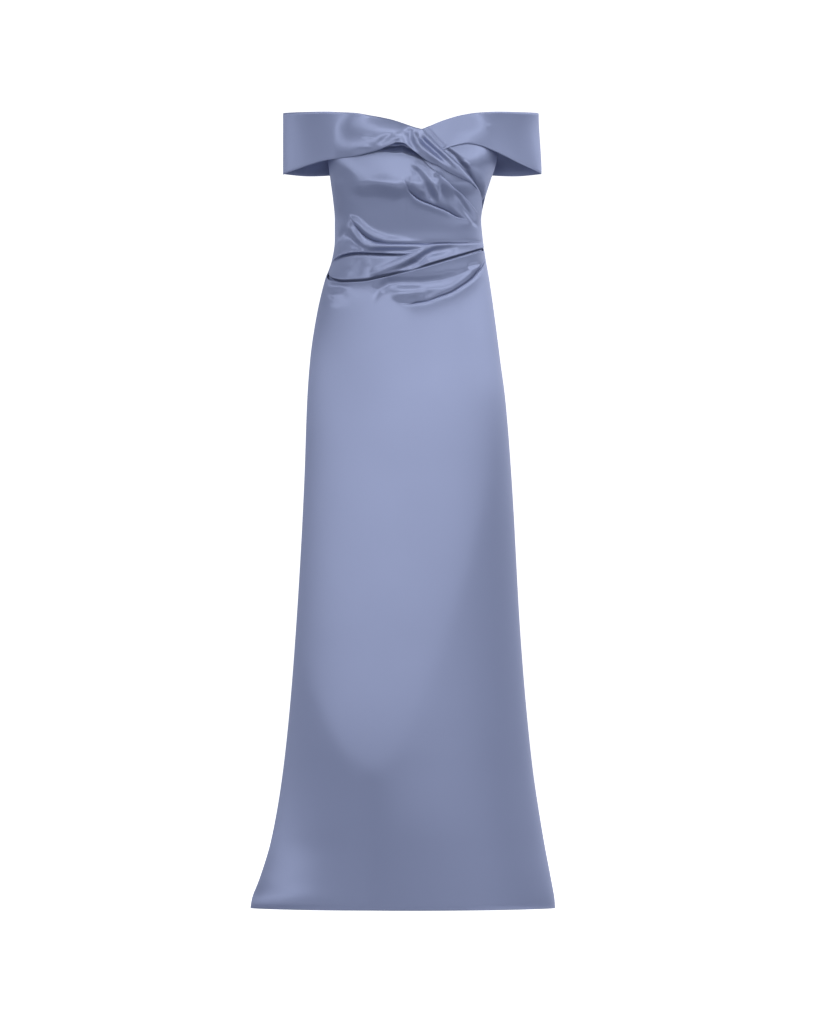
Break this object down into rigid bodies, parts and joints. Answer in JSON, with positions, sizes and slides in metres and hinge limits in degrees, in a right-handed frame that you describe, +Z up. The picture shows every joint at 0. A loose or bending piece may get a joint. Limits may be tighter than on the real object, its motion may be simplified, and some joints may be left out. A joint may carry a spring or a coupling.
{
  "type": "off-shoulder dress",
  "caption": "Floor-length satin dress with a wide off-shoulder band that crosses at the bust, a wrapped and pleated bodice, and a column skirt that flares at the hem.",
  "frame": {"origin": "centre of the bodice at the fullest level of the bust, 1270 mm above the hem, where the wearer holds the dress up", "axes": "+Z up, -Y is the front of the dress, +X is the wearer's left"},
  "size_m": [0.531, 0.3359, 1.3833],
  "materials": {
    "satin": "smooth satin, dusty periwinkle blue",
    "zip_tape": "matt woven tape, dyed to match",
    "zip_metal": "lacquered to match the cloth"
  },
  "bodies": {
    "dress": {"bodice_front": "satin", "bodice_under_front": "satin", "bodice_back_left": "satin", "bodice_back_right": "satin", "skirt_front": "satin", "skirt_back_left": "satin", "skirt_back_right": "satin", "band_right": "satin", "band_left": "satin", "zip_tape": "zip_tape", "zip_slider": "zip_metal"},
    "zip_pull": {"zip_pull": "zip_metal"}
  },
  "joints": [
    {"name": "zip_pull_swing", "type": "hinge", "parent": "dress", "child": "zip_pull", "pos_m": [0, 0.10162, 0.0755], "axis": [1, 0, 0], "range_deg": [0, 150]}
  ]
}
